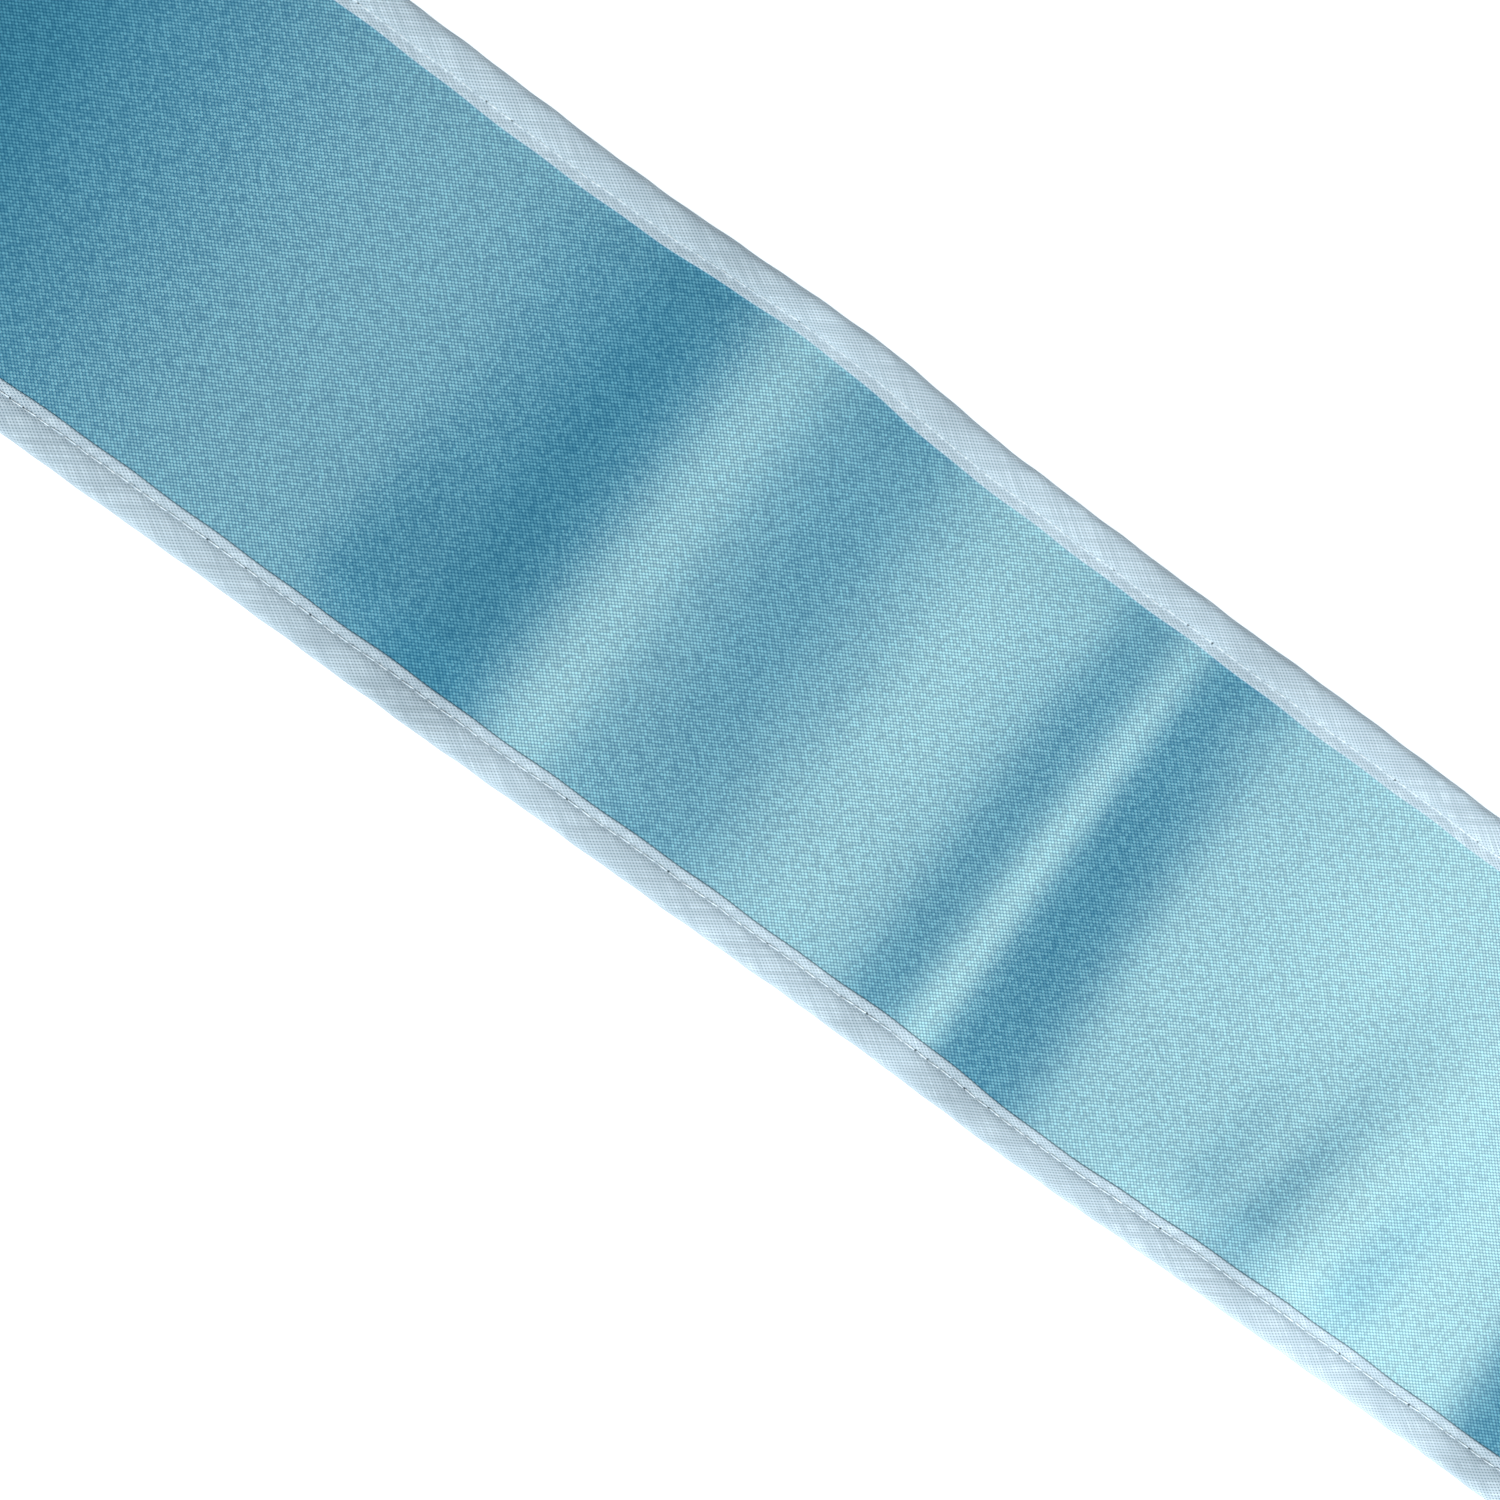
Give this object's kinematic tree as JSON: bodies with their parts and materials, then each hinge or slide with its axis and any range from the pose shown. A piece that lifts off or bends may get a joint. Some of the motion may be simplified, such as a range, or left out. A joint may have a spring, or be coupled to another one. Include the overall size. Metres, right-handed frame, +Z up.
{
  "type": "satin sash",
  "caption": "Long narrow satin sash laid flat in soft cross folds, its edges and ends bound in folded bias tape.",
  "frame": {"origin": "on the surface that the sash lies on, below the middle of its length and width", "axes": "+X along the sash, +Y across it towards its upper edge, +Z up from the surface"},
  "size_m": [1.6, 0.0972, 0.0111],
  "materials": {
    "satin": "lustrous woven satin, light blue",
    "bias_tape": "matt plain weave cut on the bias, pale grey-blue",
    "thread": "fine polyester sewing thread, pale blue"
  },
  "bodies": {
    "root": {"satin_panel": "satin", "upper_edge_binding": "bias_tape", "lower_edge_binding": "bias_tape", "left_end_binding": "bias_tape", "right_end_binding": "bias_tape"}
  },
  "joints": []
}
